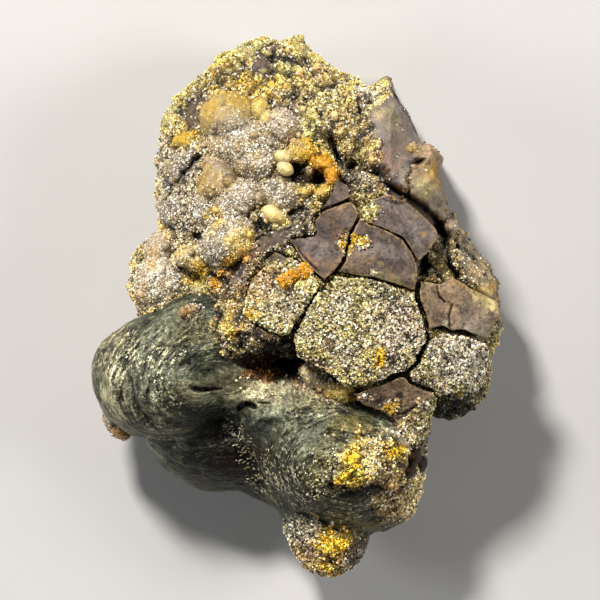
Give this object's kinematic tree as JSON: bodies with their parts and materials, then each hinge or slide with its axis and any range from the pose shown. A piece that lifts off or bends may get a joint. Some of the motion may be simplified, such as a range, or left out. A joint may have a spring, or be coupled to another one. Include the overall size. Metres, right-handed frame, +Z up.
{
  "type": "pyrite specimen",
  "caption": "Natural pyrite specimen: a smooth lobed metallic nodule grown together with a rough druse crust of cracked plates, pale round lumps and a flat-faced spire, lying on its broken back.",
  "frame": {"origin": "On the flat broken back that the specimen rests on, under the middle of its bounding box", "axes": "+Z up, out of the face that people look at; +Y along the longest extent, from the nodule's tip towards the spire; +X to the right of someone looking down with +Y away from them, towards the druse plates' outer corner"},
  "size_m": [0.0689, 0.0898, 0.042],
  "materials": {
    "pyrite": "satin"
  },
  "bodies": {
    "root": {"pyrite_specimen": "pyrite"}
  },
  "joints": []
}
